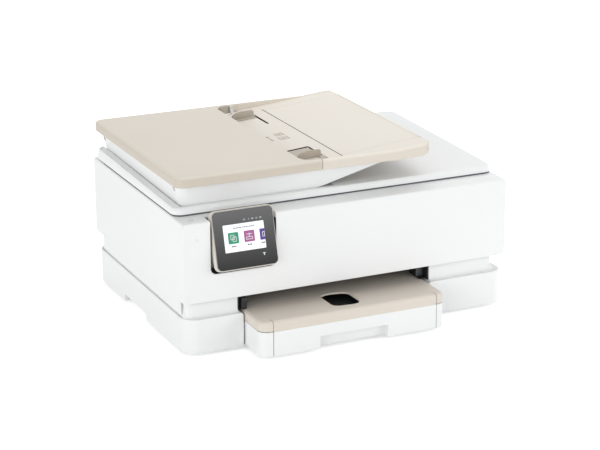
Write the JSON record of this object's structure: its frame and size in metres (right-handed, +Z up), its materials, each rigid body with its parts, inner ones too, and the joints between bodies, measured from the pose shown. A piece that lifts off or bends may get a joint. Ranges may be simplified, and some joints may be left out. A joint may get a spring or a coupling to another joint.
{
  "type": "inkjet printer",
  "caption": "All-in-one inkjet printer with a flatbed scanner, document feeder, tilting touch panel, paper drawer and moving ink carriage.",
  "frame": {"origin": "middle of the footprint's bounding box, on the surface that the feet stand on", "axes": "+X to the right as a person facing the front sees it, +Y to the back, +Z up"},
  "size_m": [0.46, 0.391, 0.2322],
  "materials": {
    "white_shell": "fine satin texture",
    "beige_shell": "fine satin texture",
    "black_part": "matte",
    "grey_part": "matte",
    "white_part": "smooth",
    "steel_sheet": "zinc plated",
    "steel_rod": "ground and polished",
    "motor_can": "plated",
    "brass_gear": "plain",
    "belt_rubber": "ribbed",
    "foot_rubber": "matte",
    "roller_rubber": "matte",
    "platen_glass": "clear",
    "panel_glass": "polished",
    "display": "lit display",
    "clear_lens": "clear",
    "circuit_board": "lacquered",
    "pad_foam": "soft",
    "ink_black": "smooth",
    "ink_colour": "smooth"
  },
  "bodies": {
    "base": {"base_housing": "white_shell", "rubber_feet": "foot_rubber", "chassis": "steel_sheet", "carriage_rod": "steel_rod", "encoder_strip": "grey_part", "drive_belt": "belt_rubber", "carriage_motor": "motor_can", "platen": "black_part", "feed_motor": "motor_can", "rear_paper_guide": "black_part", "power_inlet": "black_part", "usb_port": "steel_sheet", "main_board": "circuit_board", "power_supply": "black_part", "service_tub": "black_part", "unit_hinge_posts": "white_part"},
    "carriage": {"ink_carriage": "black_part", "cartridge_black": "ink_black", "cartridge_colour": "ink_colour"},
    "left_latch": {"latch_left": "grey_part"},
    "right_latch": {"latch_right": "grey_part"},
    "driven_pulley": {"motor_pulley": "brass_gear"},
    "free_pulley": {"idler_pulley": "white_part"},
    "feed_shaft": {"feed_roller": "roller_rubber"},
    "eject_shaft": {"eject_roller": "roller_rubber"},
    "idler": {"idler_gear": "white_part"},
    "motor_pinion": {"motor_gear": "brass_gear"},
    "cap_sled": {"service_sled": "grey_part"},
    "paper_arm": {"pick_arm": "black_part"},
    "paper_wheel": {"pick_roller": "roller_rubber"},
    "access_unit": {"upper_housing": "white_shell", "front_fascia": "white_shell", "scanner_tub": "black_part", "scanner_glass": "platen_glass", "scan_rod": "steel_rod", "status_lens": "clear_lens"},
    "scan_head": {"scan_bar": "grey_part"},
    "power_key": {"power_button": "white_shell"},
    "control_panel": {"panel_housing": "beige_shell", "panel_bezel": "panel_glass", "panel_display": "display"},
    "scanner_lid": {"lid_base": "white_shell", "lid_hinge_pins": "steel_rod", "document_pad": "pad_foam", "feeder_housing": "white_shell", "feeder_frame": "black_part"},
    "feeder_lid": {"feeder_cover": "beige_shell"},
    "separator_wheel": {"feeder_pick_roller": "roller_rubber"},
    "turn_shaft": {"feeder_turn_roller": "roller_rubber"},
    "exit_shaft": {"feeder_exit_roller": "roller_rubber"},
    "tray": {"input_tray": "beige_shell"},
    "long_paper_flap": {"tray_flap": "beige_shell"},
    "front_guide": {"guide_front": "beige_shell"},
    "rear_guide": {"guide_back": "beige_shell"},
    "guide_wheel": {"guide_pinion": "white_part"},
    "drawer": {"paper_drawer": "white_shell", "output_cover": "beige_shell"},
    "extender": {"drawer_front": "white_shell", "extender_lip": "beige_shell"},
    "photo_holder": {"photo_tray": "black_part"}
  },
  "joints": [
    {"name": "unit_hinge", "type": "hinge", "parent": "base", "child": "access_unit", "pos_m": [-0.124, 0.1735, 0.077], "axis": [-1, 0, 0], "range_deg": [0, 25]},
    {"name": "lid_hinge", "type": "hinge", "parent": "access_unit", "child": "scanner_lid", "pos_m": [-0.148, 0.1815, 0.181], "axis": [-1, 0, 0], "range_deg": [0, 75]},
    {"name": "panel_tilt", "type": "hinge", "parent": "access_unit", "child": "control_panel", "pos_m": [-0.149, -0.1325, 0.169], "axis": [-1, 0, 0], "range_deg": [-15.8, 29]},
    {"name": "power_press", "type": "slide", "parent": "access_unit", "child": "power_key", "axis": [0, 0, -1], "range_m": [0, 0.0012], "stiffness_N_per_m": 300},
    {"name": "scan_travel", "type": "slide", "parent": "access_unit", "child": "scan_head", "axis": [1, 0, 0], "range_m": [0, 0.31]},
    {"name": "carriage_travel", "type": "slide", "parent": "base", "child": "carriage", "axis": [-1, 0, 0], "range_m": [0, 0.276]},
    {"name": "left_latch_lift", "type": "hinge", "parent": "carriage", "child": "left_latch", "pos_m": [0.129, -0.0055, 0.1274], "axis": [-1, 0, 0], "range_deg": [0, 60]},
    {"name": "right_latch_lift", "type": "hinge", "parent": "carriage", "child": "right_latch", "pos_m": [0.174, -0.0055, 0.1274], "axis": [-1, 0, 0], "range_deg": [0, 60]},
    {"name": "driven_pulley_spin", "type": "hinge", "parent": "base", "child": "driven_pulley", "pos_m": [0.182, 0.0615, 0.108], "axis": [0, 1, 0], "range_deg": [0, 2300]},
    {"name": "free_pulley_spin", "type": "hinge", "parent": "base", "child": "free_pulley", "pos_m": [-0.184, 0.0615, 0.108], "axis": [0, 1, 0], "range_deg": [0, 2300]},
    {"name": "feed_spin", "type": "hinge", "parent": "base", "child": "feed_shaft", "pos_m": [-0.03, 0.0275, 0.053], "axis": [1, 0, 0], "continuous": true},
    {"name": "eject_spin", "type": "hinge", "parent": "base", "child": "eject_shaft", "pos_m": [-0.03, -0.0325, 0.053], "axis": [1, 0, 0], "continuous": true},
    {"name": "idler_spin", "type": "hinge", "parent": "base", "child": "idler", "pos_m": [-0.2075, -0.0025, 0.053], "axis": [1, 0, 0], "continuous": true},
    {"name": "motor_gear_spin", "type": "hinge", "parent": "base", "child": "motor_pinion", "pos_m": [-0.2075, 0.04589, 0.07139], "axis": [1, 0, 0], "continuous": true},
    {"name": "sled_travel", "type": "slide", "parent": "base", "child": "cap_sled", "axis": [0, 1, 0], "range_m": [-0.01, 0.02]},
    {"name": "paper_arm_swing", "type": "hinge", "parent": "base", "child": "paper_arm", "pos_m": [-0.018, 0.0555, 0.0495], "axis": [-1, 0, 0], "range_deg": [0, 40]},
    {"name": "paper_wheel_spin", "type": "hinge", "parent": "paper_arm", "child": "paper_wheel", "pos_m": [-0.018, 0.0895, 0.0495], "axis": [1, 0, 0], "continuous": true},
    {"name": "feeder_lid_hinge", "type": "hinge", "parent": "scanner_lid", "child": "feeder_lid", "pos_m": [-0.209, 0.039, 0.21], "axis": [0, -1, 0], "range_deg": [0, 70]},
    {"name": "separator_spin", "type": "hinge", "parent": "feeder_lid", "child": "separator_wheel", "pos_m": [-0.08, 0.039, 0.218], "axis": [0, 1, 0], "continuous": true},
    {"name": "turn_spin", "type": "hinge", "parent": "scanner_lid", "child": "turn_shaft", "pos_m": [-0.178, 0.039, 0.203], "axis": [0, 1, 0], "continuous": true},
    {"name": "exit_spin", "type": "hinge", "parent": "scanner_lid", "child": "exit_shaft", "pos_m": [-0.07, 0.039, 0.1975], "axis": [0, 1, 0], "continuous": true},
    {"name": "tray_hinge", "type": "hinge", "parent": "scanner_lid", "child": "tray", "pos_m": [-0.024, 0.039, 0.225], "axis": [0, -1, 0], "range_deg": [0, 30]},
    {"name": "flap_hinge", "type": "hinge", "parent": "tray", "child": "long_paper_flap", "pos_m": [0.132, 0.039, 0.23022], "axis": [0, 1, 0], "range_deg": [0, 165]},
    {"name": "front_guide_travel", "type": "slide", "parent": "tray", "child": "front_guide", "axis": [0, 1, 0], "range_m": [0, 0.048]},
    {"name": "rear_guide_travel", "type": "slide", "parent": "tray", "child": "rear_guide", "axis": [0, -1, 0], "range_m": [0, 0.048]},
    {"name": "guide_wheel_spin", "type": "hinge", "parent": "tray", "child": "guide_wheel", "pos_m": [-0.012, 0.039, 0.213], "axis": [0, 0, -1], "range_deg": [0, 400]},
    {"name": "drawer_slide", "type": "slide", "parent": "base", "child": "drawer", "axis": [0, -1, 0], "range_m": [0, 0.2]},
    {"name": "extender_slide", "type": "slide", "parent": "drawer", "child": "extender", "axis": [0, -1, 0], "range_m": [0, 0.09]},
    {"name": "photo_slide", "type": "slide", "parent": "drawer", "child": "photo_holder", "axis": [0, 1, 0], "range_m": [0, 0.03]}
  ],
  "couplings": [
    {"joint": "eject_spin", "follows": "feed_spin", "ratio": 1},
    {"joint": "idler_spin", "follows": "feed_spin", "ratio": -1.5},
    {"joint": "motor_gear_spin", "follows": "feed_spin", "ratio": -2.25},
    {"joint": "driven_pulley_spin", "follows": "carriage_travel", "rad_per_m": 142.86},
    {"joint": "free_pulley_spin", "follows": "carriage_travel", "rad_per_m": 142.86},
    {"joint": "rear_guide_travel", "follows": "front_guide_travel", "ratio": 1},
    {"joint": "guide_wheel_spin", "follows": "front_guide_travel", "rad_per_m": 125}
  ]
}
